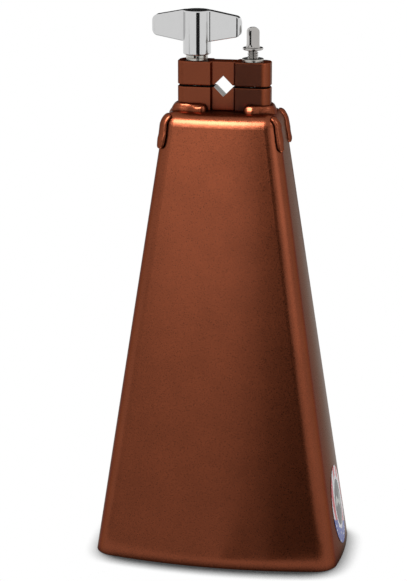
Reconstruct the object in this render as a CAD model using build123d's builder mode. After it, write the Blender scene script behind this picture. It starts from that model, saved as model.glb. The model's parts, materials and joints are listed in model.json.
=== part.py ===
from build123d import *
import math
import os

# Timbale cowbell with its rod clamp, in millimetres.
# Frame: the bell stands mouth down on the plane z = 0, with the mouth's centre at the origin.
# +Z is up towards the clamp, X is the wide way of the bell, and its front face looks along -Y.

# ---------------------------------------------------------------- bell body
bell_height = 268.5
sheet = 1.5
mouth_width = 150.2
mouth_depth = 86.5
mouth_front_bow = 8.1
mouth_side_bow = 3.2
mouth_corner_radius = 13.8
top_width = 66.0
top_depth = 41.8
top_front_bow = 2.8
top_side_bow = 0.3
top_corner_radius = 8.8
roll_radius = 8.0

# ---------------------------------------------------------------- welds on the bell
bead_radius = 2.3
bead_proud = 1.3
bead_drop = 19.0
bead_angle = 22.0
bead_roll_turn = 50.0
seam_width = 3.0
seam_proud = 0.6
seam_end_margin = 6.0
fillet_weld_height = 4.4
fillet_weld_leg = 5.0
fillet_weld_land = 0.5
left_weld_start = 8.5
right_weld_start = 12.0

# ---------------------------------------------------------------- clamp jaws
jaw_length = 54.0
jaw_depth = 14.2
jaw_height = 13.7
jaw_end_radius = 5.0
jaw_edge_radius = 0.7
jaw_gap = 0.95
web_depth = 9.6
web_top_width = 14.6
web_root_width = 12.6
groove_depth = 5.5
bolt_spacing = 32.6

# ---------------------------------------------------------------- bolts and washers
thread_diameter = 6.35
thread_pitch = 1.27
thread_depth = 0.55
thread_crest_start = 0.45
thread_crest_end = 0.55
thread_root_start = 0.95
running_clearance = 0.05
guide_clearance = 0.2
tapped_floor = 1.6
thread_end_room = 0.9
washer_diameter = 12.6
washer_thickness = 1.6
washer_edge = 0.2
washer_hole_clearance = 0.25
thrust_clearance = 0.2
split_gap = 1.2

# ---------------------------------------------------------------- wing handle
hub_diameter = 16.1
hub_height = 25.1
hub_edge_radius = 0.8
wing_half_span = 26.2
wing_thickness = 6.4
wing_root_bottom = 7.4
wing_tip_top_drop = 3.5
wing_tip_bottom = 10.8
wing_corner_radius = 3.4
wing_root_radius = 2.0
stud_socket_depth = 14.0

# ---------------------------------------------------------------- drum-key bolt
key_free_thread = 5.1
collar_diameter = 11.9
collar_thickness = 1.3
collar_edge_radius = 0.5
neck_diameter = 9.2
neck_height = 1.3
head_flats = 6.05
head_height = 11.7
head_dome_height = 3.1
head_corner_radius = 0.7
head_turn = 20.0

# ---------------------------------------------------------------- side label
label_height = 48.0
label_width = 34.0
label_thickness = 0.25
label_glue = 0.05
label_centre_z = 29.0

# Heights that follow from the sizes above
bead_bottom = bell_height - bead_drop
lower_jaw_top = bell_height + jaw_height
upper_jaw_bottom = lower_jaw_top + jaw_gap
upper_jaw_top = upper_jaw_bottom + jaw_height
flat_washer_top = upper_jaw_top + washer_thickness
hub_bottom = flat_washer_top + washer_thickness + thrust_clearance
collar_bottom = flat_washer_top + key_free_thread
rod_centre_z = lower_jaw_top + jaw_gap / 2
thread_radius = thread_diameter / 2
thread_tip_z = bell_height + tapped_floor + thread_end_room
wing_x = -bolt_spacing / 2
key_x = bolt_spacing / 2
slack = 2.0
near = 0.01

os.makedirs("parts", exist_ok=True)


def save(part, name):
    """Labels one finished piece and writes its STEP file."""
    part.label = name
    export_step(part, f"parts/{name}.step")


def between(at_mouth, at_top, z):
    """The value at height z of a size that changes evenly from the mouth to the top."""
    return at_mouth + (at_top - at_mouth) * z / bell_height


def bell_outline(z, inset):
    """Draws the bell's closed outline at height z, moved inwards by inset, as a face."""
    side_bow = between(mouth_side_bow, top_side_bow, z)
    front_bow = between(mouth_front_bow, top_front_bow, z)
    half_width = between(mouth_width, top_width, z) / 2 - inset - side_bow
    half_depth = between(mouth_depth, top_depth, z) / 2 - inset - front_bow
    radius = between(mouth_corner_radius, top_corner_radius, z) - inset
    corners = [
        (-half_width, -half_depth),
        (half_width, -half_depth),
        (half_width, half_depth),
        (-half_width, half_depth),
    ]
    middles = [
        (0, -half_depth - front_bow),
        (half_width + side_bow, 0),
        (0, half_depth + front_bow),
        (-half_width - side_bow, 0),
    ]
    with BuildSketch(Plane.XY.offset(z)) as outline:
        with BuildLine():
            for i in range(4):
                ThreePointArc(corners[i], middles[i], corners[(i + 1) % 4])
        make_face()
        fillet(outline.vertices(), radius)
    return outline.sketch


def bell_body(inset, bottom, top, roll):
    """The tapered body between two heights, with its top edge rolled over, as a solid."""
    with BuildPart() as body:
        loft([bell_outline(bottom, inset), bell_outline(top, inset)], ruled=True)
        top_face = body.faces().sort_by(Axis.Z)[-1]
        fillet(top_face.edges(), roll)
    return body.part


# Outside and inside of the bell; the cavity runs on below the mouth so that the cut is clean.
bell_outside = bell_body(0, 0, bell_height, roll_radius)
bell_inside = bell_body(sheet, -slack, bell_height - sheet, roll_radius - sheet)

with BuildPart() as bell_shell:
    add(bell_outside)
    add(bell_inside, mode=Mode.SUBTRACT)
save(bell_shell.part, "bell_shell")


# ---------------------------------------------------------------- side seams
def wall_x(z):
    """The outside of the narrow side, on its middle line."""
    return between(mouth_width, top_width, z) / 2


seam_bottom = seam_end_margin
seam_top = bell_height - roll_radius - seam_end_margin
for side_name, side in (("left", -1), ("right", 1)):
    with BuildPart() as side_seam_weld:
        inner_bottom = wall_x(seam_bottom) - sheet
        inner_top = wall_x(seam_top) - sheet
        with BuildSketch(Plane.XZ) as seam_profile:
            with BuildLine():
                Polyline(
                    (side * (inner_bottom - seam_proud), seam_bottom),
                    (side * (inner_bottom + sheet / 2), seam_bottom),
                    (side * (inner_top + sheet / 2), seam_top),
                    (side * (inner_top - seam_proud), seam_top),
                    close=True,
                )
            make_face()
        extrude(amount=seam_width / 2, both=True)
        add(bell_shell.part, mode=Mode.SUBTRACT)
    save(side_seam_weld.part, f"{side_name}_seam_weld")


# ---------------------------------------------------------------- jaws
def jaw_plan(grow):
    """Plan outline of a jaw: two bosses with a narrower web between them, grown all round."""
    half_length = jaw_length / 2 + grow
    half_depth = jaw_depth / 2 + grow
    with BuildSketch() as plan:
        Rectangle(2 * half_length, 2 * half_depth)
        fillet(plan.vertices(), jaw_end_radius + grow)
    return plan.sketch


def web_pocket(bottom, height):
    """The two recesses that leave the web between the bosses, as one tool."""
    with BuildPart() as pocket:
        for side in (-1, 1):
            with BuildSketch(Plane.XY.offset(bottom)):
                with BuildLine():
                    Polyline(
                        (-web_root_width / 2, side * web_depth / 2),
                        (web_root_width / 2, side * web_depth / 2),
                        (web_top_width / 2, side * jaw_depth / 2),
                        (web_top_width / 2, side * (jaw_depth / 2 + slack)),
                        (-web_top_width / 2, side * (jaw_depth / 2 + slack)),
                        (-web_top_width / 2, side * jaw_depth / 2),
                        close=True,
                    )
                make_face()
            extrude(amount=height)
    return pocket.part


def groove(face_z, direction):
    """The V groove across a jaw's inner face, which holds the rod, as a tool."""
    with BuildPart() as cutter:
        with BuildSketch(Plane.XZ):
            with BuildLine():
                Polyline(
                    (-groove_depth - slack, face_z + direction * slack),
                    (0, face_z - direction * groove_depth),
                    (groove_depth + slack, face_z + direction * slack),
                    close=True,
                )
            make_face()
        extrude(amount=jaw_depth, both=True)
    return cutter.part


def jaw_block(bottom, groove_face, groove_direction):
    """A jaw without its bolt holes."""
    with BuildPart() as jaw:
        with BuildSketch(Plane.XY.offset(bottom)):
            add(jaw_plan(0))
        extrude(amount=jaw_height)
        add(web_pocket(bottom - slack, jaw_height + 2 * slack), mode=Mode.SUBTRACT)
        rims = jaw.edges().filter_by(lambda e: abs(e.bounding_box().size.Z) < near)
        fillet(rims, jaw_edge_radius)
        add(groove(groove_face, groove_direction), mode=Mode.SUBTRACT)
    return jaw.part


tapped_radius = thread_radius + running_clearance
guide_radius = thread_radius + guide_clearance

with BuildPart() as lower_jaw:
    add(jaw_block(bell_height, lower_jaw_top, 1))
    with Locations((wing_x, 0, lower_jaw_top), (key_x, 0, lower_jaw_top)):
        Hole(tapped_radius, depth=jaw_height - tapped_floor)
save(lower_jaw.part, "lower_jaw")

with BuildPart() as upper_jaw:
    add(jaw_block(upper_jaw_bottom, upper_jaw_bottom, -1))
    with Locations((wing_x, 0, upper_jaw_top), (key_x, 0, upper_jaw_top)):
        Hole(guide_radius, depth=jaw_height)
save(upper_jaw.part, "upper_jaw")


def jaw_weld(side, start):
    """The fillet weld round one end of the lower jaw, from start to the end, on the bell's top."""
    root = bell_height - roll_radius
    with BuildPart() as weld:
        with BuildSketch(Plane.XY.offset(bell_height)):
            add(jaw_plan(fillet_weld_leg))
        with BuildSketch(Plane.XY.offset(bell_height + fillet_weld_height)):
            add(jaw_plan(fillet_weld_land))
        loft(ruled=True)
        with BuildSketch(Plane.XY.offset(root)):
            add(jaw_plan(fillet_weld_leg))
        extrude(amount=roll_radius)
        add(bell_outside, mode=Mode.SUBTRACT)
        with BuildSketch(Plane.XY.offset(root)):
            add(jaw_plan(0))
        extrude(amount=roll_radius + jaw_height, mode=Mode.SUBTRACT)
        kept_length = jaw_length / 2 + fillet_weld_leg + slack - start
        with BuildSketch(Plane.XY.offset(root)):
            with Locations((side * (start + kept_length / 2), 0)):
                Rectangle(kept_length, jaw_depth + 2 * (fillet_weld_leg + slack))
        extrude(amount=roll_radius + jaw_height, mode=Mode.INTERSECT)
    return weld.part


save(jaw_weld(-1, left_weld_start), "left_jaw_weld")
save(jaw_weld(1, right_weld_start), "right_jaw_weld")


# ---------------------------------------------------------------- corner beads
def corner_point(z, side_x, side_y, inset):
    """A point on the bell's rounded corner at height z, moved towards the corner's own centre."""
    radius = between(mouth_corner_radius, top_corner_radius, z)
    rounds = bell_outline(z, 0).edges().filter_by(lambda e: abs(e.radius - radius) < near)
    centre = rounds.sort_by(lambda e: side_x * e.arc_center.X + side_y * e.arc_center.Y)[-1].arc_center
    angle = math.radians(bead_angle)
    return Vector(
        centre.X + side_x * (radius - inset) * math.cos(angle),
        centre.Y + side_y * (radius - inset) * math.sin(angle),
        z,
    )


def corner_weld(side_x, side_y):
    """One weld bead that runs up a top corner and over the rolled shoulder."""
    sunk = bead_radius - bead_proud
    roll_start = bell_height - roll_radius
    low = corner_point(bead_bottom, side_x, side_y, sunk)
    high = corner_point(roll_start, side_x, side_y, sunk)
    inwards = (corner_point(roll_start, side_x, side_y, roll_radius) - high).normalized()
    rise = roll_radius - sunk
    roll_centre = high + inwards * rise
    turn = math.radians(bead_roll_turn)
    over = roll_centre - inwards * (rise * math.cos(turn)) + Vector(0, 0, rise * math.sin(turn))
    roll_axis = Axis(roll_centre, inwards.cross(Vector(0, 0, -1)))
    with BuildPart() as bead:
        with BuildSketch(Plane(origin=low, z_dir=high - low)):
            Circle(bead_radius)
        extrude(amount=(high - low).length)
        with BuildSketch(Plane.XY.offset(roll_start)):
            with Locations((high.X, high.Y)):
                Circle(bead_radius)
        revolve(axis=roll_axis, revolution_arc=bead_roll_turn)
        with Locations(low, high, over):
            Sphere(bead_radius)
        add(bell_outside, mode=Mode.SUBTRACT)
    return bead.part


for front_name, side_y in (("front", -1), ("rear", 1)):
    for side_name, side_x in (("left", -1), ("right", 1)):
        save(corner_weld(side_x, side_y), f"corner_weld_{front_name}_{side_name}")


# ---------------------------------------------------------------- threads
def thread_profile(x, bottom, top):
    """Half section of a threaded rod with its axis at x, for revolving; ridges are rings."""
    turns = int((top - bottom) / thread_pitch)
    root_radius = thread_radius - thread_depth
    points = [(x, bottom), (x + root_radius, bottom)]
    for i in range(turns):
        start = bottom + i * thread_pitch
        points.append((x + thread_radius, start + thread_pitch * thread_crest_start))
        points.append((x + thread_radius, start + thread_pitch * thread_crest_end))
        points.append((x + root_radius, start + thread_pitch * thread_root_start))
    points.append((x + root_radius, top))
    points.append((x, top))
    return points


def threaded_rod(x, bottom, top):
    with BuildPart() as rod:
        with BuildSketch(Plane.XZ):
            with BuildLine():
                Polyline(*thread_profile(x, bottom, top), close=True)
            make_face()
        revolve(axis=Axis((x, 0, 0), (0, 0, 1)))
    return rod.part


# ---------------------------------------------------------------- wing bolt
with BuildPart() as wing_stud:
    add(threaded_rod(wing_x, thread_tip_z, hub_bottom))
    with BuildSketch(Plane.XY.offset(hub_bottom)):
        with Locations((wing_x, 0)):
            Circle(thread_radius)
    extrude(amount=stud_socket_depth)
save(wing_stud.part, "wing_stud")

hub_top = hub_bottom + hub_height
with BuildPart() as wings:
    with BuildSketch(Plane.XZ) as wing_face:
        with BuildLine():
            Polyline(
                (wing_x - wing_half_span, hub_bottom + wing_tip_bottom),
                (wing_x - hub_diameter / 2, hub_bottom + wing_root_bottom),
                (wing_x + hub_diameter / 2, hub_bottom + wing_root_bottom),
                (wing_x + wing_half_span, hub_bottom + wing_tip_bottom),
                (wing_x + wing_half_span, hub_top - wing_tip_top_drop),
                (wing_x + hub_diameter / 2, hub_top),
                (wing_x - hub_diameter / 2, hub_top),
                (wing_x - wing_half_span, hub_top - wing_tip_top_drop),
                close=True,
            )
        make_face()
        tip_corners = wing_face.vertices().filter_by(lambda v: abs(v.X - wing_x) > hub_diameter)
        fillet(tip_corners, wing_corner_radius)
    extrude(amount=hub_diameter / 2, both=True)
    with BuildSketch(Plane.XY.offset(hub_bottom)) as wing_plan:
        with Locations((wing_x, 0)):
            SlotOverall(2 * wing_half_span, wing_thickness)
            Circle(hub_diameter / 2)
        wing_roots = wing_plan.vertices().filter_by(
            lambda v: abs(v.X - wing_x) < hub_diameter / 2
        )
        fillet(wing_roots, wing_root_radius)
    extrude(amount=hub_height, mode=Mode.INTERSECT)

with BuildPart() as wing_handle:
    with BuildSketch(Plane.XY.offset(hub_bottom)):
        with Locations((wing_x, 0)):
            Circle(hub_diameter / 2)
    extrude(amount=hub_height)
    fillet(wing_handle.edges().sort_by(Axis.Z)[0], hub_edge_radius)
    add(wings.part)
    with Locations((wing_x, 0, hub_bottom)):
        Cylinder(
            thread_radius,
            stud_socket_depth,
            align=(Align.CENTER, Align.CENTER, Align.MIN),
            mode=Mode.SUBTRACT,
        )
save(wing_handle.part, "wing_handle")


# ---------------------------------------------------------------- washers
def washer(x, bottom):
    with BuildPart() as ring:
        with BuildSketch(Plane.XY.offset(bottom)):
            with Locations((x, 0)):
                Circle(washer_diameter / 2)
                Circle(thread_radius + washer_hole_clearance, mode=Mode.SUBTRACT)
        extrude(amount=washer_thickness)
        rims = ring.edges().filter_by(GeomType.CIRCLE).group_by(SortBy.RADIUS)[-1]
        chamfer(rims, washer_edge)
    return ring.part


save(washer(wing_x, upper_jaw_top), "wing_flat_washer")
save(washer(key_x, upper_jaw_top), "key_washer")

with BuildPart() as wing_spring_washer:
    add(washer(wing_x, flat_washer_top))
    with BuildSketch(Plane.XY.offset(flat_washer_top)):
        with Locations((wing_x, -washer_diameter / 2)):
            Rectangle(split_gap, washer_diameter)
    extrude(amount=washer_thickness, mode=Mode.SUBTRACT)
save(wing_spring_washer.part, "wing_spring_washer")

# ---------------------------------------------------------------- drum-key bolt
head_bottom = collar_bottom + collar_thickness
head_top = head_bottom + head_height
half_diagonal = head_flats / math.sqrt(2)
dome_radius = (half_diagonal**2 + head_dome_height**2) / (2 * head_dome_height)
with BuildPart() as key_head:
    with BuildSketch(Plane.XY.offset(head_bottom)):
        with Locations(Location((key_x, 0), head_turn)):
            RectangleRounded(head_flats, head_flats, head_corner_radius)
    extrude(amount=head_height)
    with BuildSketch(Plane.XZ):
        with BuildLine():
            Line((key_x, head_top), (key_x, head_bottom))
            Line((key_x, head_bottom), (key_x + dome_radius, head_bottom))
            Line((key_x + dome_radius, head_bottom), (key_x + dome_radius, head_top - dome_radius))
            CenterArc((key_x, head_top - dome_radius), dome_radius, 0, 90)
        make_face()
    revolve(axis=Axis((key_x, 0, 0), (0, 0, 1)), mode=Mode.INTERSECT)

with BuildPart() as key_bolt:
    add(threaded_rod(key_x, thread_tip_z, collar_bottom))
    with BuildSketch(Plane.XY.offset(collar_bottom)):
        with Locations((key_x, 0)):
            Circle(collar_diameter / 2)
    extrude(amount=collar_thickness)
    collar_rims = key_bolt.edges().filter_by(GeomType.CIRCLE).group_by(SortBy.RADIUS)[-1]
    fillet(collar_rims, collar_edge_radius)
    add(key_head.part)
    with Locations((key_x, 0, head_bottom)):
        Cone(
            neck_diameter / 2,
            head_flats / 2,
            neck_height,
            align=(Align.CENTER, Align.CENTER, Align.MIN),
        )
save(key_bolt.part, "key_bolt")

# ---------------------------------------------------------------- label on the right narrow side
with BuildPart() as side_label:
    with BuildSketch(Plane.YZ):
        with Locations((0, label_centre_z)):
            Ellipse(label_width / 2, label_height / 2)
    extrude(amount=mouth_width)
    add(bell_body(-label_thickness, 0, bell_height, roll_radius), mode=Mode.INTERSECT)
    add(bell_body(-label_glue, -slack, bell_height, roll_radius), mode=Mode.SUBTRACT)
save(side_label.part, "side_label")
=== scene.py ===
import json
import math

import bmesh
import bpy
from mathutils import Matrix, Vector, noise

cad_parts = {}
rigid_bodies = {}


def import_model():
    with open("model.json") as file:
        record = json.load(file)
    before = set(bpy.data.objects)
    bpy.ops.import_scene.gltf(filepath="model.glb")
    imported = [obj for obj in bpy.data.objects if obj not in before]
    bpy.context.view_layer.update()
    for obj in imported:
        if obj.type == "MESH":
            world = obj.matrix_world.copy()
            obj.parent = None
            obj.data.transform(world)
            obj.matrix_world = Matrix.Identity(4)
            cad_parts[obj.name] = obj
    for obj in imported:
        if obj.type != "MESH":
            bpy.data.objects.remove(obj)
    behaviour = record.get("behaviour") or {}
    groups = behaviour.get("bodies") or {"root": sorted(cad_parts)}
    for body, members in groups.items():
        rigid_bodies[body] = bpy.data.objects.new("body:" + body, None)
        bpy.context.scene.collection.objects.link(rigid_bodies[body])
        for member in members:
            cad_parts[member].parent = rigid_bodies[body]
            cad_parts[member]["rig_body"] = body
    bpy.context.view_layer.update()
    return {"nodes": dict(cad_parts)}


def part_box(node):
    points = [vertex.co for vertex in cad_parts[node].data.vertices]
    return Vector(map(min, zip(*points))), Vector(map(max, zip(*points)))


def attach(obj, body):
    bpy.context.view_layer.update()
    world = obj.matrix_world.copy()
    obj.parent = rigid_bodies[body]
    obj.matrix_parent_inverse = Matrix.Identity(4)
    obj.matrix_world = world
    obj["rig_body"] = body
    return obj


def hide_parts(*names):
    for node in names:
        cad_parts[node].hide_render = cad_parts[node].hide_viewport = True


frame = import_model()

# A cowbell for timbales with its rod clamp. Metres, in the CAD frame: mouth down on z = 0, front towards -Y.
MM = 0.001
nodes = frame["nodes"]
slot_names = {name: node.data.materials[0].name.split(".")[0] for name, node in nodes.items()}

# ---------------------------------------------------------------- sizes that the pieces and looks follow
# The boxes give heights and reaches. The top, corners, roll and groove are sizes of the CAD part.
bell_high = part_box("bell_shell")[1]
top_half_width = 33 * MM
top_half_depth = 20.9 * MM
top_corner_radius = 8.8 * MM
mouth_corner_radius = 13.8 * MM
roll_radius = 8 * MM
roll_start = bell_high.z - roll_radius
side_lean = math.atan((bell_high.x - top_half_width) / bell_high.z)
jaw_end_radius = 5 * MM
lower_jaw_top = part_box("lower_jaw")[1].z
upper_jaw_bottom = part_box("upper_jaw")[0].z
rod_centre_z = (lower_jaw_top + upper_jaw_bottom) / 2
groove_depth = 5.5 * MM
right_boss_start = 6 * MM
right_boss_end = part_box("upper_jaw")[1].x
label_low, label_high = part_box("side_label")
label_centre_z = (label_low.z + label_high.z) / 2
label_half_width = (label_high.y - label_low.y) / 2
label_half_height = (label_high.z - label_low.z) / 2


# ---------------------------------------------------------------- shader helpers
class Shading:
    """One node material with a Principled shader, and short calls to add and join its nodes."""

    def __init__(self, name, colour=(0.8, 0.8, 0.8), metallic=0.0, roughness=0.5):
        self.material = bpy.data.materials.new(name)
        self.material.use_nodes = True
        self.tree = self.material.node_tree
        self.shader = self.tree.nodes["Principled BSDF"]
        self.set("Base Color", colour)
        self.set("Metallic", metallic)
        self.set("Roughness", roughness)
        self.place = self.add("ShaderNodeTexCoord").outputs["Object"]

    def add(self, kind, inputs=None, **settings):
        """A new node with its settings, and with its inputs joined or set."""
        node = self.tree.nodes.new(kind)
        for key, value in settings.items():
            setattr(node, key, value)
        for key, value in (inputs or {}).items():
            if isinstance(value, bpy.types.NodeSocket):
                self.tree.links.new(value, node.inputs[key])
            else:
                node.inputs[key].default_value = value
        return node

    def set(self, key, value):
        """Joins or sets one input of the Principled shader."""
        if isinstance(value, bpy.types.NodeSocket):
            self.tree.links.new(value, self.shader.inputs[key])
        elif isinstance(value, tuple):
            self.shader.inputs[key].default_value = (*value, 1)
        else:
            self.shader.inputs[key].default_value = value

    def show(self, surface):
        """Shows another shader in place of the Principled one."""
        self.tree.nodes.remove(self.shader)
        self.tree.links.new(surface, self.tree.nodes["Material Output"].inputs["Surface"])

    def noise(self, size, detail=2.0):
        """Noise from 0 to 1 whose features are about size metres across."""
        inputs = {"Vector": self.place, "Scale": 1 / size, "Detail": detail, "Roughness": 0.5}
        return self.add("ShaderNodeTexNoise", inputs).outputs[0]

    def ramp(self, value, low, high, to_low, to_high, smooth=True):
        """value from low..high mapped on to to_low..to_high, and held at the ends."""
        inputs = {"Value": value, 1: low, 2: high, 3: to_low, 4: to_high}
        kind = "SMOOTHSTEP" if smooth else "LINEAR"
        return self.add("ShaderNodeMapRange", inputs, interpolation_type=kind).outputs[0]

    def math(self, operation, first, second=0.0, third=0.0):
        inputs = {0: first, 1: second, 2: third}
        return self.add("ShaderNodeMath", inputs, operation=operation).outputs[0]

    def mix(self, factor, first, second):
        """A colour between first, at 0, and second, at 1."""
        node = self.add("ShaderNodeMix", data_type="RGBA")
        for key, value in ((0, factor), (6, first), (7, second)):
            if isinstance(value, bpy.types.NodeSocket):
                self.tree.links.new(value, node.inputs[key])
            else:
                node.inputs[key].default_value = (*value, 1) if isinstance(value, tuple) else value
        return node.outputs[2]

    def mix_value(self, factor, first, second):
        """A number between first, at 0, and second, at 1."""
        inputs = {0: factor, 2: first, 3: second}
        return self.add("ShaderNodeMix", inputs, data_type="FLOAT").outputs[0]

    def coordinate(self):
        """The x, y and z of the place on the object, in metres."""
        return self.add("ShaderNodeSeparateXYZ", {0: self.place}).outputs

    def bump(self, *layers):
        """Bumps from several (height 0 to 1, depth in metres) layers, one on the other."""
        normal = None
        for height, depth in layers:
            inputs = {"Height": height, "Distance": depth, "Strength": 1.0}
            if normal is not None:
                inputs["Normal"] = normal
            normal = self.add("ShaderNodeBump", inputs).outputs[0]
        self.set("Normal", normal)


def from_srgb(red, green, blue):
    """A colour written as screen values from 0 to 255, as the linear values that shaders take."""
    values = [v / 255 for v in (red, green, blue)]
    return tuple(v / 12.92 if v <= 0.04045 else ((v + 0.055) / 1.055) ** 2.4 for v in values)


# ---------------------------------------------------------------- copper coat
COPPER = from_srgb(112, 56, 34)
BARE_METAL = from_srgb(196, 192, 184)
BARE_ROUGHNESS = 0.3
# The share of red, green and blue that the coat keeps in a reflection at a grazing angle.
EDGE_TINT = (0.37, 0.36, 0.31)
FLAKE_SIZE = 0.65 * MM
FLAKE_TONE = 0.08
FLAKE_DEPTH = 0.0015 * MM
CLOUD_SIZE = 18 * MM
CLOUD_TONE = 0.05
PEEL_SIZE = 1.6 * MM
PEEL_DEPTH = 0.012 * MM
# How far from a gap the shade painted into the coat's colour reaches.
GAP_SHADE_REACH = 12 * MM
BOSS_SLOPE_DEPTH = 5.5 * MM


def coat_colour(look, flakes):
    """Copper with lighter and darker flakes and broad faint clouds."""
    clouds = look.noise(CLOUD_SIZE)
    flake_tone = look.ramp(flakes, 0.35, 0.65, -FLAKE_TONE, FLAKE_TONE)
    cloud_tone = look.ramp(clouds, 0.3, 0.7, -CLOUD_TONE, CLOUD_TONE)
    tone = look.math("ADD", flake_tone, cloud_tone)
    dark = tuple(c * 0.55 for c in COPPER)
    light = tuple(c * 1.45 for c in COPPER)
    return look.mix(look.math("ADD", tone, 0.5), dark, light)


def coat_cover(look, place):
    """0 on the bare sides of the jaws' square grooves, and 1 where the jaws are coated."""
    across = look.math("ABSOLUTE", place[0])
    above = look.math("ABSOLUTE", look.math("SUBTRACT", place[2], rod_centre_z))
    reach = look.math("ADD", across, above)
    groove_reach = groove_depth + (upper_jaw_bottom - lower_jaw_top) / 2
    return look.ramp(reach, groove_reach + 0.05 * MM, groove_reach + 0.15 * MM, 0.0, 1.0)


def paint_gap_shade(look, colour):
    """The colour, with shade painted in: darker in gaps and where parts meet."""
    open_air = look.add("ShaderNodeAmbientOcclusion", {"Distance": GAP_SHADE_REACH}, samples=8).outputs["AO"]
    return look.mix(look.ramp(open_air, 0.4, 0.78, 0.3, 1.0), (0, 0, 0), colour)


def shade_coat(name, satin=0.0, bare_groove=False):
    """Satin metallic coat: copper flakes, a fine orange peel, a thin gloss over it, and painted shade in
    gaps.
    """
    look = Shading(name, COPPER, 1.0, 0.42)
    flakes = look.noise(FLAKE_SIZE, detail=1.0)
    colour = coat_colour(look, flakes)
    roughness = look.ramp(flakes, 0.3, 0.7, 0.27 + satin, 0.33 + satin)
    edge_tint = EDGE_TINT
    bumps = [(look.noise(PEEL_SIZE, detail=1.0), PEEL_DEPTH), (flakes, FLAKE_DEPTH)]
    if bare_groove:
        place = look.coordinate()
        cover = coat_cover(look, place)
        colour = look.mix(cover, BARE_METAL, colour)
        roughness = look.mix_value(cover, BARE_ROUGHNESS, roughness)
        edge_tint = look.mix(cover, (1.0, 1.0, 1.0), EDGE_TINT)
        # A slope in the bumps turns the faces of the right boss towards +X.
        boss_slope = look.ramp(place[0], right_boss_start, right_boss_end, 1.0, 0.0, smooth=False)
        bumps.insert(0, (boss_slope, BOSS_SLOPE_DEPTH))
    # Shade is painted into the coat's colour in gaps and where parts meet.
    look.set("Base Color", paint_gap_shade(look, colour))
    look.set("Roughness", roughness)
    look.set("Specular Tint", edge_tint)
    look.set("Coat Weight", 0.12)
    look.set("Coat Roughness", 0.22)
    look.set("Coat IOR", 1.5)
    look.bump(*bumps)
    return look.material


# ---------------------------------------------------------------- plated metal
CHROME = (0.61, 0.61, 0.61)
BRIGHT_CHROME = (0.42, 0.405, 0.39)
PLATED_STEEL = (0.5, 0.485, 0.45)
HAZE_SIZE = 3 * MM
WAVE_SIZE = 4 * MM


def shade_chrome(name, colour, roughness, wave_depth):
    """Plated metal: a slight haze and a very shallow waviness."""
    look = Shading(name, colour, 1.0, roughness)
    haze = look.noise(HAZE_SIZE)
    look.set("Roughness", look.ramp(haze, 0.3, 0.7, roughness * 0.8, roughness * 1.3))
    look.set("Base Color", look.mix(haze, tuple(c * 0.94 for c in colour), colour))
    look.bump((look.noise(WAVE_SIZE, detail=1.0), wave_depth))
    return look.material


# ---------------------------------------------------------------- printed label
LABEL_WHITE = from_srgb(244, 242, 246)
LABEL_RED = from_srgb(206, 34, 48)
LABEL_BLUE = from_srgb(30, 58, 158)
LABEL_BLACK = from_srgb(22, 20, 20)
LABEL_GREY = from_srgb(196, 200, 194)
DOT_SPACING = 3.2 * MM
PATCH_SIZE = 9 * MM
VINYL_GRAIN_SIZE = 1.2 * MM
VINYL_GRAIN_DEPTH = 0.004 * MM


def label_ground(look, across, up):
    """Wavy red and white stripes, above a blue field with white dots."""
    waves = look.math("MULTIPLY", look.math("SINE", look.math("MULTIPLY", up, 5.0)), 0.7)
    stripes = look.math("SINE", look.math("MULTIPLY_ADD", across, 11.0, waves))
    striped = look.mix(look.ramp(stripes, -0.15, 0.15, 0, 1), LABEL_RED, LABEL_WHITE)
    cells = look.add("ShaderNodeTexVoronoi", {"Vector": look.place, "Scale": 1 / DOT_SPACING})
    dotted = look.mix(look.ramp(cells.outputs["Distance"], 0.2, 0.28, 0, 1), LABEL_WHITE, LABEL_BLUE)
    slope = look.math("MULTIPLY_ADD", across, 0.3, up)
    return look.mix(look.ramp(slope, -0.46, -0.42, 0, 1), dotted, striped)


def label_oval(look, across, up):
    """0 at the middle of the label's oval, and 1 at its edge."""
    wide = look.math("POWER", look.math("DIVIDE", across, 0.56), 2.0)
    high = look.math("POWER", look.math("DIVIDE", look.math("SUBTRACT", up, 0.06), 0.62), 2.0)
    return look.math("SQRT", look.math("ADD", wide, high))


def shade_label(name):
    """Printed vinyl: stripes above a dotted field, and on them a white-edged black oval with patches."""
    look = Shading(name, (0.8, 0.8, 0.8), 0.0, 0.35)
    place = look.coordinate()
    across = look.math("DIVIDE", place[1], label_half_width)
    up = look.math("DIVIDE", look.math("SUBTRACT", place[2], label_centre_z), label_half_height)
    ground = label_ground(look, across, up)
    oval = label_oval(look, across, up)
    blots = look.ramp(look.noise(PATCH_SIZE, detail=1.0), 0.52, 0.55, 0, 1)
    patches = look.math("MULTIPLY", blots, look.ramp(oval, 0.7, 0.76, 1, 0))
    figure = look.mix(patches, LABEL_BLACK, LABEL_GREY)
    rimmed = look.mix(look.ramp(oval, 1.1, 1.14, 1, 0), ground, LABEL_WHITE)
    look.set("Base Color", look.mix(look.ramp(oval, 0.94, 0.98, 1, 0), rimmed, figure))
    look.bump((look.noise(VINYL_GRAIN_SIZE), VINYL_GRAIN_DEPTH))
    return look.material


def give_materials():
    """Gives each CAD part the material of its slot, and the jaws the coat with a bare groove."""
    by_slot = {
        "copper_coat": shade_coat("coat"),
        "chrome": shade_chrome("chrome", CHROME, 0.06, 0.006 * MM),
        "bright_chrome": shade_chrome("bright_chrome", BRIGHT_CHROME, 0.09, 0.006 * MM),
        "plated_steel": shade_chrome("plated_steel", PLATED_STEEL, 0.25, 0.01 * MM),
        "label": shade_label("label_print"),
    }
    for name, node in nodes.items():
        node.data.materials[0] = by_slot[slot_names[name]]
    jaw_coat = shade_coat("jaw_coat", satin=0.06, bare_groove=True)
    for name in ("lower_jaw", "upper_jaw"):
        nodes[name].data.materials[0] = jaw_coat
    return by_slot


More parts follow.
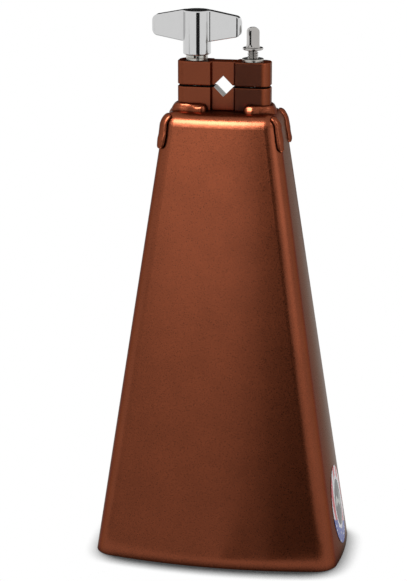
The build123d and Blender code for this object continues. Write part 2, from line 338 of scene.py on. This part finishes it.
# ---------------------------------------------------------------- object and mesh helpers
def new_mesh(name, vertices, faces):
    """A mesh whose faces all look outwards."""
    mesh = bpy.data.meshes.new(name)
    mesh.from_pydata(vertices, [], faces)
    form = bmesh.new()
    form.from_mesh(mesh)
    bmesh.ops.recalc_face_normals(form, faces=form.faces)
    form.to_mesh(mesh)
    form.free()
    return mesh


def apply_modifiers(piece):
    """Turns what the piece's modifiers make into its own mesh."""
    bpy.context.view_layer.update()
    shaped = piece.evaluated_get(bpy.context.evaluated_depsgraph_get())
    mesh = bpy.data.meshes.new_from_object(shaped)
    piece.modifiers.clear()
    piece.data = mesh


def add_object(name, data):
    thing = bpy.data.objects.new(name, data)
    bpy.context.scene.collection.objects.link(thing)
    return thing


def settle(piece, node_name, material, sharp_angle):
    """Gives a finished piece its material and smooth shading, puts it in its node's body, and hides the node.
    """
    node = nodes[node_name]
    piece.data.materials.clear()
    piece.data.materials.append(material)
    piece.data.shade_smooth()
    piece.data.set_sharp_from_angle(angle=math.radians(sharp_angle))
    even = piece.modifiers.new("even_flats", "WEIGHTED_NORMAL")
    even.weight = 80
    even.keep_sharp = True
    apply_modifiers(piece)
    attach(piece, node["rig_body"])
    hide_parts(node_name)


def skin(rings):
    """Vertices and faces of a closed surface through rings of equally many points."""
    count = len(rings[0])
    vertices = [point for ring in rings for point in ring]
    faces = []
    for row in range(len(rings) - 1):
        for side in range(count):
            here = row * count + side
            beside = row * count + (side + 1) % count
            faces.append((here, beside, beside + count, here + count))
    faces.append(tuple(reversed(range(count))))
    faces.append(tuple(range(len(vertices) - count, len(vertices))))
    return vertices, faces


def turned(profile, centre_x, sides):
    """Rings of a profile of (radius, z) points, turned round the upright axis at centre_x."""
    angles = [2 * math.pi * side / sides for side in range(sides)]
    rings = []
    for radius, z in profile:
        rings.append([(centre_x + radius * math.cos(a), radius * math.sin(a), z) for a in angles])
    return rings


def quarter(centre_radius, centre_z, radius, start, end, steps=5):
    """Profile points on a rounded edge, between two angles in degrees from outwards towards up."""
    angles = [math.radians(start + (end - start) * step / steps) for step in range(steps + 1)]
    return [(centre_radius + radius * math.cos(a), centre_z + radius * math.sin(a)) for a in angles]


# ---------------------------------------------------------------- welds
def swell(along, length, end):
    """1 along a bead, and round down to almost nothing over the last stretch at each end."""
    near_end = min(along, length - along) / end
    if near_end >= 1:
        return 1.0
    return max(math.sqrt(max(1 - (1 - near_end) ** 2, 0.0)), 0.04)


def lump(along, around, size, seed):
    """Smooth uneven lumps on a bead, mostly between -1 and 1."""
    place = Vector((along / size, math.cos(around) + seed * 3.7, math.sin(around) + seed * 1.9))
    return noise.noise(place) * 1.6


def smooth_step(value, low, high):
    """0 below low and 1 above high, with a smooth rise between them."""
    share = min(max((value - low) / (high - low), 0.0), 1.0)
    return share * share * (3 - 2 * share)


def corner_surface(side_x, side_y, angle, rise):
    """A point on the outside of one rounded corner of the bell, the direction out of it, and its radius.
    Below the rolled shoulder the rise is the height, and above that it is the way over the roll."""
    over = max(rise - roll_start, 0.0) / roll_radius
    height = min(rise, roll_start)
    down = 1 - height / bell_high.z
    inset = roll_radius * (1 - math.cos(over))
    half_width = top_half_width + (bell_high.x - top_half_width) * down
    half_depth = top_half_depth + (bell_high.y - top_half_depth) * down
    radius = top_corner_radius + (mouth_corner_radius - top_corner_radius) * down
    x = half_width - radius + (radius - inset) * math.cos(angle)
    y = half_depth - radius + (radius - inset) * math.sin(angle)
    lift = max(over, side_lean)
    out = Vector((side_x * math.cos(angle), side_y * math.sin(angle), math.tan(lift))).normalized()
    return Vector((side_x * x, side_y * y, height + roll_radius * math.sin(over))), out, radius - inset


def corner_ring(corner, middle, rise, along, wide, proud, seed):
    """One section of a corner weld: round outside, and buried in the sheet behind."""
    buried = 0.6 * MM
    steps = 16
    around = corner_surface(*corner, middle, rise)[2]
    ring = []
    for step in range(steps + 1):
        share = math.cos(math.pi * step / steps)
        point, out, _ = corner_surface(*corner, middle + share * wide / around, rise)
        bulge = 1 + 0.1 * lump(along, 3 * share, 3.5 * MM, seed)
        ring.append(point + out * (proud * bulge * math.sqrt(max(1 - share * share, 0.0)) ** 0.8))
    for share in (-1.0, -0.5, 0.0, 0.5, 1.0):
        point, out, _ = corner_surface(*corner, middle + share * wide / around, rise)
        ring.append(point - out * buried)
    return ring


def corner_bead(node_name, coat, seed):
    """The wide weld up one top corner and over the rolled shoulder, thicker at its lower end."""
    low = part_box(node_name)[0]
    corner = (1 if low.x > 0 else -1, 1 if low.y > 0 else -1)
    # The front left weld lies further round to the front. The others nearly face the sides.
    middle = math.radians(30 if corner == (-1, -1) else 5)
    roll_turn = math.radians(64)
    length = roll_start + roll_radius * roll_turn - low.z
    half_width = 4.2 * MM
    top_proud = 1.15 * MM
    extra_proud = 0.5 * MM
    rows = 60
    rings = []
    for row in range(rows + 1):
        along = length * row / rows
        full = swell(along, length, 3.2 * MM)
        wide = half_width * full * (1 + 0.09 * lump(along, 0.0, 6 * MM, seed))
        proud = (top_proud + extra_proud * (1 - along / length)) * full
        proud *= 1 + 0.14 * lump(along, 2.0, 5 * MM, seed + 1)
        rings.append(corner_ring(corner, middle, low.z + along, along, wide, proud, seed + 2))
    piece = add_object(node_name + "_bead", new_mesh(node_name, *skin(rings)))
    settle(piece, node_name, coat, 80)


def seam_bead(node_name, coat, seed):
    """The low rippled weld inside the bell, where the two halves of the sheet meet."""
    low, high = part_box(node_name)
    side_x = 1 if low.x > 0 else -1
    proud = 0.6 * MM
    buried = 0.3 * MM
    radius = (high.y - low.y) / 2
    ripple_pitch = 2.4 * MM
    bottom = Vector((side_x * max(abs(low.x), abs(high.x)), 0, low.z))
    top = Vector((side_x * (min(abs(low.x), abs(high.x)) + proud), 0, high.z))
    length = (top - bottom).length
    forward = (top - bottom).normalized()
    inwards = Vector((-side_x, 0, 0))
    out = (inwards - forward * inwards.dot(forward)).normalized()
    beside = forward.cross(out)
    rows = 420
    steps = 18
    rings = []
    for row in range(rows + 1):
        along = length * row / rows
        full = swell(along, length, 3 * MM)
        ripple = 1 + 0.05 * math.cos(2 * math.pi * along / ripple_pitch)
        ring = []
        for step in range(steps):
            angle = 2 * math.pi * step / steps
            reach = radius * full * (ripple + 0.05 * lump(along, angle, 4.5 * MM, seed))
            up = max(reach * math.sin(angle) + (proud - radius) * full, -buried)
            ring.append(bottom + forward * along + beside * (reach * math.cos(angle)) + out * up)
        rings.append(ring)
    piece = add_object(node_name + "_bead", new_mesh(node_name, *skin(rings)))
    settle(piece, node_name, coat, 80)


def straight(first, last, out, steps):
    """Points from first up to just before last, each with the direction out."""
    return [(first.lerp(last, step / steps), out) for step in range(steps)]


def jaw_corner(centre, side, from_angle):
    """Points round a quarter of the jaw's end, up to just before its last, each with the direction out."""
    steps = 14
    run = []
    for step in range(steps):
        angle = math.radians(from_angle + 90 * step / steps)
        out = Vector((side * math.cos(angle), math.sin(angle), 0))
        run.append((centre + out * jaw_end_radius, out))
    return run


def jaw_end_run(side, start):
    """The lower jaw's outline round one end, from front to rear, as points with their directions out."""
    low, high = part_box("lower_jaw")
    centre_x = side * (high.x - jaw_end_radius)
    centre_y = high.y - jaw_end_radius
    start_x = side * start
    end_x = side * high.x
    front = Vector((0, -1, 0))
    end = Vector((side, 0, 0))
    rear = Vector((0, 1, 0))
    run = straight(Vector((start_x, low.y, 0)), Vector((centre_x, low.y, 0)), front, 36)
    run += jaw_corner(Vector((centre_x, -centre_y, 0)), side, -90)
    run += straight(Vector((end_x, -centre_y, 0)), Vector((end_x, centre_y, 0)), end, 10)
    run += jaw_corner(Vector((centre_x, centre_y, 0)), side, 0)
    run += straight(Vector((centre_x, high.y, 0)), Vector((start_x, high.y, 0)), rear, 36)
    return run + [(Vector((start_x, high.y, 0)), rear)]


def top_height(x):
    """The height of the bell's top at x, where it rolls down towards the sides."""
    past = max(0.0, abs(x) - (top_half_width - roll_radius))
    return roll_start + math.sqrt(max(roll_radius ** 2 - past ** 2, 0.0))


def jaw_weld_ring(point, out, leg, height, along, seed):
    """One section of the jaw's weld: a round fillet from the jaw's side out to its toe on the bell's top."""
    sunk = 0.05 * MM
    buried = 0.5 * MM
    steps = 12
    ring = []
    for step in range(steps + 1):
        angle = math.pi / 2 * step / steps
        bulge = 1 + 0.05 * lump(along, 2 * angle, 4.5 * MM, seed)
        reach = point + out * (leg * bulge * math.sin(angle) ** 0.65)
        up = height * bulge * math.cos(angle) ** 0.65
        ring.append(Vector((reach.x, reach.y, top_height(reach.x) + up - sunk)))
    toe = ring[-1]
    inside = point - out * buried
    ring.append(Vector((toe.x, toe.y, toe.z - buried)))
    ring.append(Vector((inside.x, inside.y, top_height(inside.x) - buried)))
    ring.append(Vector((inside.x, inside.y, ring[0].z)))
    return ring


def jaw_weld_bead(node_name, coat, seed):
    """The thick uneven weld that holds one end of the lower jaw on the bell's top."""
    low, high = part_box(node_name)
    side = 1 if low.x > 0 else -1
    weld_height = high.z - bell_high.z - 0.1 * MM
    weld_leg = high.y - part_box("lower_jaw")[1].y + 0.2 * MM
    run = jaw_end_run(side, min(abs(low.x), abs(high.x)))
    lengths = [0.0]
    for (before, _), (after, _) in zip(run, run[1:]):
        lengths.append(lengths[-1] + (after - before).length)
    rings = []
    for (point, out), along in zip(run, lengths):
        full = swell(along, lengths[-1], 3.5 * MM)
        from_end = min(along, lengths[-1] - along)
        waist = smooth_step(from_end, 5 * MM, 13 * MM) * (1 - smooth_step(from_end, 18 * MM, 26 * MM))
        leg = weld_leg * full * (1 - 0.42 * waist) * (1 + 0.1 * lump(along, 0.0, 8 * MM, seed))
        height = weld_height * full * (1 + 0.08 * lump(along, 2.0, 9 * MM, seed + 1))
        rings.append(jaw_weld_ring(point, out, leg, height, along, seed + 2))
    piece = add_object(node_name + "_bead", new_mesh(node_name, *skin(rings)))
    settle(piece, node_name, coat, 75)


def add_welds(coat):
    """A bead in place of each weld. The number of its node makes the lumps of each one its own."""
    for number, name in enumerate(sorted(nodes)):
        if name.startswith("corner_weld"):
            corner_bead(name, coat, number)
        elif name.endswith("jaw_weld"):
            jaw_weld_bead(name, coat, number)
        elif name.endswith("seam_weld"):
            seam_bead(name, coat, number)


# ---------------------------------------------------------------- wing handle
wing_low, wing_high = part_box("wing_handle")
wing_centre_x = (wing_low.x + wing_high.x) / 2
half_span = (wing_high.x - wing_low.x) / 2
hub_radius = wing_high.y
HUB_EDGE = 0.8 * MM
WING_HALF_THICK = 3.2 * MM
WING_EDGE = 0.7 * MM
WING_CORNER = 3.4 * MM
TIP_FALL = 3.5 * MM
TIP_RISE = 10.8 * MM
ROOT_RISE = 7.4 * MM
ROOT_FILLET = 2.0 * MM
# The fillet between hub and wing ends on the wing at root_centre_x, and on the hub at root_end.
root_centre_y = WING_HALF_THICK + ROOT_FILLET
root_centre_x = math.sqrt((hub_radius + ROOT_FILLET) ** 2 - root_centre_y ** 2)
root_end = root_centre_x * hub_radius / (hub_radius + ROOT_FILLET)


def hub_mesh():
    """The turned hub, with a socket for the stud."""
    stud_low, stud_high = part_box("wing_stud")
    stud_radius = (stud_high.x - stud_low.x) / 2
    profile = [(stud_radius, stud_high.z), (stud_radius, wing_low.z)]
    profile += quarter(hub_radius - HUB_EDGE, wing_low.z + HUB_EDGE, HUB_EDGE, -90, 0)
    profile += quarter(hub_radius - HUB_EDGE, wing_high.z - HUB_EDGE, HUB_EDGE, 0, 90)
    return new_mesh("wing_handle_hub", *skin(turned(profile, wing_centre_x, 96)))


def wing_half_thickness(reach):
    """Half the wing's thickness at a distance from the hub's axis: filleted at the hub, round at the tip."""
    if reach < root_centre_x:
        across = root_centre_x - max(reach, root_end)
        return root_centre_y - math.sqrt(ROOT_FILLET ** 2 - across ** 2)
    past = max(0.0, reach - (half_span - WING_HALF_THICK))
    return math.sqrt(max(WING_HALF_THICK ** 2 - past ** 2, (0.05 * MM) ** 2))


def wing_heights(reach):
    """The wing's bottom and top at a distance from the hub's axis: less tall outwards, with round corners."""
    share = max(0.0, (reach - hub_radius) / (half_span - hub_radius))
    top = wing_high.z - TIP_FALL * share
    bottom = wing_low.z + ROOT_RISE + (TIP_RISE - ROOT_RISE) * share
    past = max(0.0, reach - (half_span - WING_CORNER))
    fall = WING_CORNER - math.sqrt(max(WING_CORNER ** 2 - past ** 2, 0.0))
    return bottom + fall, top - fall


def wing_section(x):
    """An upright rectangle with rounded corners, across the wing at x from the hub's axis."""
    half_thick = wing_half_thickness(abs(x))
    bottom, top = wing_heights(abs(x))
    radius = min(WING_EDGE, 0.9 * half_thick)
    points = []
    for side_y, level, start in ((1, top, 0), (-1, top, 90), (-1, bottom, 180), (1, bottom, 270)):
        middle_y = side_y * (half_thick - radius)
        middle_z = level - radius if level == top else level + radius
        for step in range(6):
            angle = math.radians(start + 18 * step)
            y = middle_y + radius * math.cos(angle)
            z = middle_z + radius * math.sin(angle)
            points.append((wing_centre_x + x, y, z))
    return points


def wing_mesh():
    """Both arms as one row of sections from tip to tip, closest where the outline is round."""
    tip_start = half_span - WING_HALF_THICK
    reaches = [tip_start + WING_HALF_THICK * math.sin(math.radians(a)) for a in range(89, 0, -4)]
    reaches += [tip_start - 0.5 * MM * step for step in range(27)]
    reaches = [reach for reach in reaches if reach > root_centre_x]
    fillet_steps = 8
    fillet_length = root_centre_x - root_end
    reaches += [root_centre_x - fillet_length * step / fillet_steps for step in range(fillet_steps + 1)]
    rights = sorted(reaches)
    stations = [-reach for reach in reversed(rights)] + [0.0] + rights
    return new_mesh("wing_handle_wing", *skin([wing_section(x) for x in stations]))


def wing_handle(chrome):
    """The hub and the wing, joined into one skin."""
    piece = add_object("wing_handle_chrome", hub_mesh())
    arms = add_object("wing_handle_arm", wing_mesh())
    join = piece.modifiers.new("join", "BOOLEAN")
    join.operation = "UNION"
    join.solver = "EXACT"
    join.object = arms
    apply_modifiers(piece)
    bpy.data.objects.remove(arms)
    settle(piece, "wing_handle", chrome, 35)


# ---------------------------------------------------------------- threads and the drum-key bolt
THREAD_PITCH = 1.27 * MM
THREAD_DEPTH = 0.6 * MM
BOLT_SIDES = 40
THREAD_ROWS_PER_TURN = 12


def thread_rings(centre_x, bottom, top, radius):
    """A right-hand helical thread as rings, with its ends run out to plain rod."""
    rows = int((top - bottom) / THREAD_PITCH * THREAD_ROWS_PER_TURN)
    rings = []
    for row in range(rows + 1):
        z = bottom + (top - bottom) * row / rows
        run_out = min(1.0, (z - bottom) / THREAD_PITCH, (top - z) / THREAD_PITCH)
        ring = []
        for side in range(BOLT_SIDES):
            angle = 2 * math.pi * side / BOLT_SIDES
            phase = (z / THREAD_PITCH - side / BOLT_SIDES) % 1.0
            flank = min(max(abs(2 * phase - 1) * 1.5 - 0.2, 0.0), 1.0)
            reach = radius - THREAD_DEPTH * (1 - run_out * (1 - flank))
            ring.append((centre_x + reach * math.cos(angle), reach * math.sin(angle), z))
        rings.append(ring)
    return rings


def wing_stud_thread(steel):
    """The wing's stud, threaded below the hub and plain inside it."""
    low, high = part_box("wing_stud")
    centre_x = (low.x + high.x) / 2
    radius = (high.x - low.x) / 2
    hub_bottom = wing_low.z
    rings = thread_rings(centre_x, low.z, hub_bottom - 0.1 * MM, radius)
    rings += turned([(radius, hub_bottom), (radius, high.z)], centre_x, BOLT_SIDES)
    piece = add_object("wing_stud_thread", new_mesh("wing_stud_thread", *skin(rings)))
    settle(piece, "wing_stud", steel, 50)


def key_section(centre_x, z, half_flats, squareness):
    """A ring between a circle, at squareness 0, and a square with soft corners, at 1."""
    turn = math.radians(27)
    power = 2 + 8 * squareness ** 2
    ring = []
    for side in range(BOLT_SIDES):
        angle = 2 * math.pi * side / BOLT_SIDES
        reach = (abs(math.cos(angle)) ** power + abs(math.sin(angle)) ** power) ** (-1 / power)
        x = half_flats * reach * math.cos(angle + turn)
        y = half_flats * reach * math.sin(angle + turn)
        ring.append((centre_x + x, y, z))
    return ring


def key_flange_rings(centre_x, bottom, top, radius):
    """The round flange under the bolt's head, with rounded edges."""
    edge = 0.5 * MM
    under_radius = 3.4 * MM
    head_radius = 4.7 * MM
    profile = [(under_radius, bottom)]
    profile += quarter(radius - edge, bottom + edge, edge, -90, 0, 4)
    profile += quarter(radius - edge, top - edge, edge, 0, 90, 4)
    profile += [(head_radius, top)]
    return turned(profile, centre_x, BOLT_SIDES)


def key_head_rings(centre_x, bottom, top):
    """The square head that a drum key turns. It is round and wider at its foot, and domed on top."""
    half_flats = 3.15 * MM
    foot_top = bottom + 2.4 * MM
    dome_height = 2.6 * MM
    dome_start = top - dome_height
    foot_steps = 8
    shank_steps = 4
    dome_steps = 9
    rings = []
    for step in range(1, foot_steps + 1):
        share = step / foot_steps
        flare = 1 + 0.4 * (1 - share) ** 2.4
        z = bottom + (foot_top - bottom) * share
        rings.append(key_section(centre_x, z, half_flats * flare, min(1.0, share * 1.15)))
    for step in range(1, shank_steps + 1):
        z = foot_top + (dome_start - foot_top) * step / shank_steps
        rings.append(key_section(centre_x, z, half_flats, 1.0))
    for step in range(1, dome_steps + 1):
        angle = math.radians(84 * step / dome_steps)
        z = dome_start + dome_height * math.sin(angle)
        squareness = 1.0 - 0.75 * step / dome_steps
        rings.append(key_section(centre_x, z, half_flats * math.cos(angle) ** 0.8, squareness))
    return rings


def key_bolt(bright):
    """Thread, round flange and square head as one skin."""
    low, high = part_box("key_bolt")
    centre_x = (low.x + high.x) / 2
    flange_radius = (high.x - low.x) / 2
    thread_radius = 3.175 * MM
    flange_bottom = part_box("key_washer")[1].z + 5.1 * MM
    flange_top = flange_bottom + 1.3 * MM
    rings = thread_rings(centre_x, low.z, flange_bottom - 0.3 * MM, thread_radius)
    rings += key_flange_rings(centre_x, flange_bottom, flange_top, flange_radius)
    rings += key_head_rings(centre_x, flange_top, high.z)
    piece = add_object("key_bolt_turned", new_mesh("key_bolt_turned", *skin(rings)))
    settle(piece, "key_bolt", bright, 35)


# ---------------------------------------------------------------- floor and backdrop
PAPER = (0.8, 0.8, 0.8)
FLOOR_HALF = 12.0
CONTACT_REACH = 16 * MM


def add_sheet(name, corners, look):
    """A flat sheet of the studio through four corners."""
    mesh = bpy.data.meshes.new(name)
    mesh.from_pydata(corners, [], [(0, 1, 2, 3)])
    mesh.materials.append(look.material)
    sheet = add_object(name, mesh)
    return sheet


def contact_shade(look):
    """1 on the open floor, and dark where the object stands. The open air is measured upwards, to the rear
    and a little to the left, so that the shade lies in front of the object."""
    sky = look.add("ShaderNodeCombineXYZ", {0: -0.18, 1: 0.6, 2: 0.78}).outputs[0]
    near = look.add("ShaderNodeAmbientOcclusion", {"Distance": CONTACT_REACH, "Normal": sky}, samples=16)
    return look.ramp(near.outputs["AO"], 0.44, 0.86, 0.05, 1.0, smooth=False)


def add_floor():
    """A plain white floor. The camera, metal and glass see it as white paper, apart from the object's shade.
    From below it is clear, so that the mouth of the bell can be looked into."""
    look = Shading("floor_paper")
    paper = look.add("ShaderNodeBsdfDiffuse", {"Color": (*PAPER, 1)})
    white = look.add("ShaderNodeEmission", {"Strength": contact_shade(look)})
    rays = look.add("ShaderNodeLightPath").outputs
    seen = look.math("MAXIMUM", rays["Is Camera Ray"], rays["Is Transmission Ray"])
    seen = look.math("MAXIMUM", seen, rays["Is Glossy Ray"])
    above = look.add("ShaderNodeMixShader", {0: seen, 1: paper.outputs[0], 2: white.outputs[0]})
    from_below = look.add("ShaderNodeNewGeometry").outputs["Backfacing"]
    clear = look.add("ShaderNodeBsdfTransparent")
    both = look.add("ShaderNodeMixShader", {0: from_below, 1: above.outputs[0], 2: clear.outputs[0]})
    look.show(both.outputs[0])
    half = FLOOR_HALF
    add_sheet("floor", [(-half, -half, 0), (half, -half, 0), (half, half, 0), (-half, half, 0)], look)


def set_world(diffuse_level):
    """The pale backdrop: white to the camera, in metal and through glass, and dim as light on the object."""
    world = bpy.data.worlds.new("studio")
    bpy.context.scene.world = world
    world.use_nodes = True
    world.cycles.sampling_method = "NONE"
    tree = world.node_tree
    rays = tree.nodes.new("ShaderNodeLightPath")
    background = tree.nodes["Background"]
    background.inputs["Color"].default_value = (1, 1, 1, 1)
    seen = rays.outputs["Is Camera Ray"]
    for ray in ("Is Glossy Ray", "Is Transmission Ray"):
        either = tree.nodes.new("ShaderNodeMath")
        either.operation = "MAXIMUM"
        tree.links.new(seen, either.inputs[0])
        tree.links.new(rays.outputs[ray], either.inputs[1])
        seen = either.outputs[0]
    level = tree.nodes.new("ShaderNodeMix")
    level.inputs[2].default_value = diffuse_level
    level.inputs[3].default_value = 1.0
    tree.links.new(seen, level.inputs[0])
    tree.links.new(level.outputs[0], background.inputs["Strength"])


# ---------------------------------------------------------------- cards that metal reflects
CARD_DISTANCE = 1.4
CARD_HEIGHT = 4 * MM


def add_card(name, corners, tone):
    """A plain card of one tone, from black at 0 to white at 1. Only reflections show it."""
    look = Shading(name)
    look.show(look.add("ShaderNodeEmission", {"Strength": tone}).outputs[0])
    card = add_sheet(name, corners, look)
    card.visible_camera = False
    card.visible_diffuse = False
    card.visible_transmission = False
    card.visible_shadow = False


def add_standing_card(name, azimuths, heights, tone):
    """A card that stands upright between two azimuths. Azimuth 0 is in front, 90 is at +X."""
    bottom, top = heights
    first, last = [math.radians(azimuth) for azimuth in azimuths]
    corners = []
    for turn, height in ((first, bottom), (last, bottom), (last, top), (first, top)):
        corners.append((math.sin(turn) * CARD_DISTANCE, -math.cos(turn) * CARD_DISTANCE, height))
    add_card(name, corners, tone)


def add_lying_card(name, near, far, tone):
    """A card just above the floor, between two ends along x. Each end is its y, then its two x."""
    near_y, near_first, near_last = near
    far_y, far_first, far_last = far
    corners = [
        (near_first, near_y, CARD_HEIGHT),
        (near_last, near_y, CARD_HEIGHT),
        (far_last, far_y, CARD_HEIGHT),
        (far_first, far_y, CARD_HEIGHT),
    ]
    add_card(name, corners, tone)


def add_cards():
    """Dark and grey cards, which give the metal its dark lines, because the rest of the set is white.
    They are behind the camera and to its right, behind the clamp, and on the floor behind and in front."""
    add_standing_card("dark_card_right", azimuths=(4, 33), heights=(0.0, 1.3), tone=0.02)
    add_standing_card("dark_card_rear", azimuths=(172, 204), heights=(0.3, 1.0), tone=0.02)
    add_lying_card("dark_card_rear_floor", near=(0.75, 0.1, -0.35), far=(1.6, 0.2, -0.8), tone=0.05)
    add_lying_card("grey_card_floor", near=(-0.05, -0.13, 0.005), far=(-1.15, -1.9, 0.02), tone=0.6)
    add_lying_card("middle_card_floor", near=(-0.05, 0.005, 0.035), far=(-1.15, 0.02, 0.1), tone=0.25)
    add_lying_card("dark_card_floor", near=(-0.05, 0.035, 0.11), far=(-1.15, 0.1, 0.9), tone=0.02)
    add_lying_card("side_card_floor", near=(-0.05, 0.11, 0.25), far=(-1.15, 0.9, 1.5), tone=0.8)


# ---------------------------------------------------------------- lights
WALL_DISTANCE = 1.5
STRIP_DISTANCE = 1.3
STRIP_WIDTH = 0.85
STRIP_SIDE = -0.35
UNDER_DISTANCE = 0.5


def add_softbox(name, width, height, radiance):
    """A rectangular area light of an even radiance, which the camera doesn't see."""
    lamp = bpy.data.lights.new(name, "AREA")
    lamp.shape = "RECTANGLE"
    lamp.size = width
    lamp.size_y = height
    lamp.energy = radiance * math.pi * width * height
    box = add_object(name, lamp)
    box.visible_camera = False
    return box


def aim_softbox(box, azimuth, elevation, distance, centre):
    """Puts a softbox at a distance from its centre, facing that. Azimuth 0 is in front, 90 is at +X."""
    turn = math.radians(azimuth)
    rise = math.radians(elevation)
    level = math.cos(rise)
    away = Vector((math.sin(turn) * level, -math.cos(turn) * level, math.sin(rise)))
    box.location = centre + away * distance
    box.rotation_euler = away.to_track_quat("Z", "Y").to_euler()


def chord(first_angle, last_angle, distance):
    """The width that spans the angle between two directions, in degrees, at a distance."""
    return 2 * distance * math.tan(math.radians(last_angle - first_angle) / 2)


def add_wall(name, azimuths, heights, radiance):
    """A softbox that stands upright between two azimuths."""
    first, last = azimuths
    bottom, top = heights
    box = add_softbox(name, chord(first, last, WALL_DISTANCE), top - bottom, radiance)
    aim_softbox(box, (first + last) / 2, 0, WALL_DISTANCE, Vector((0, 0, (bottom + top) / 2)))
    return box


def add_strip(name, elevations, radiance):
    """A softbox overhead in front, between two elevations seen from the top of the bell."""
    first, last = elevations
    box = add_softbox(name, STRIP_WIDTH, chord(first, last, STRIP_DISTANCE), radiance)
    aim_softbox(box, 0, (first + last) / 2, STRIP_DISTANCE, Vector((STRIP_SIDE, 0, bell_high.z)))
    return box


def add_under_light(name, radiance):
    """A soft light under the floor that shines up into the bell."""
    box = add_softbox(name, 0.9, 0.9, radiance)
    box.location = (0, 0, -UNDER_DISTANCE)
    box.rotation_euler = (math.pi, 0, 0)
    return box


def link_softboxes(softboxes, group_name, receivers):
    """Lets the softboxes light only the receivers."""
    group = bpy.data.collections.new(group_name)
    bpy.context.scene.collection.children.link(group)
    for piece in receivers:
        group.objects.link(piece)
    for softbox in softboxes:
        softbox.light_linking.receiver_collection = group
    return group


def add_studio_lights():
    """Softboxes in front and at both sides, strips overhead, and a light under the mouth.
    They light the coat and the label. The world alone lights the plated parts and the floor."""
    walls = [
        add_wall("coat_left_high", azimuths=(-100, -45), heights=(0.6, 1.2), radiance=0.25),
        add_wall("coat_front_high", azimuths=(-45, 0), heights=(0.3, 1.2), radiance=0.55),
        add_wall("coat_front_low", azimuths=(-30, 3), heights=(0.0, 0.15), radiance=0.7),
        add_wall("coat_right_middle", azimuths=(52, 80), heights=(0.12, 0.6), radiance=1.4),
        add_wall("coat_right_low", azimuths=(32, 52), heights=(0.0, 0.12), radiance=0.5),
        add_wall("coat_right_key", azimuths=(70, 100), heights=(1.1, 1.8), radiance=4.0),
    ]
    under_light = add_under_light("coat_under_light", radiance=6.0)
    label_fill = add_wall("label_fill", azimuths=(50, 110), heights=(0.02, 1.0), radiance=2.0)
    strips = [
        add_strip("shoulder_strip", elevations=(32, 58), radiance=27.0),
        add_strip("shoulder_low_strip", elevations=(10, 32), radiance=7.0),
    ]
    pieces = [thing for thing in bpy.data.objects if thing.type == "MESH" and thing.data.materials]
    bell = [piece for piece in pieces if piece.data.materials[0].name == "coat"]
    jaws = [piece for piece in pieces if piece.data.materials[0].name == "jaw_coat"]
    coated = link_softboxes(walls + [under_light], "lit_by_coat", bell + jaws)
    link_softboxes([label_fill], "lit_by_label", [nodes["side_label"]])
    link_softboxes(strips, "lit_by_shoulder", bell)
    # Only the coated pieces stop the light from below, so that the floor lets it through.
    under_light.light_linking.blocker_collection = coated


# ---------------------------------------------------------------- camera
def add_camera():
    eye = Vector((0.20126, -1.08143, 0.47966))
    aim = Vector((-0.01205, -0.00224, 0.15940))
    camera = bpy.data.cameras.new("camera")
    camera.sensor_fit = "VERTICAL"
    camera.sensor_height = 36.0
    camera.lens = 119.7
    holder = add_object("camera", camera)
    holder.location = eye
    holder.rotation_euler = (eye - aim).to_track_quat("Z", "Y").to_euler()
    bpy.context.scene.camera = holder


finishes = give_materials()
add_welds(finishes["copper_coat"])
wing_handle(finishes["chrome"])
wing_stud_thread(finishes["plated_steel"])
key_bolt(finishes["bright_chrome"])
add_floor()
set_world(diffuse_level=0.1)
add_cards()
add_studio_lights()
add_camera()
bpy.context.scene.view_settings.view_transform = "Standard"
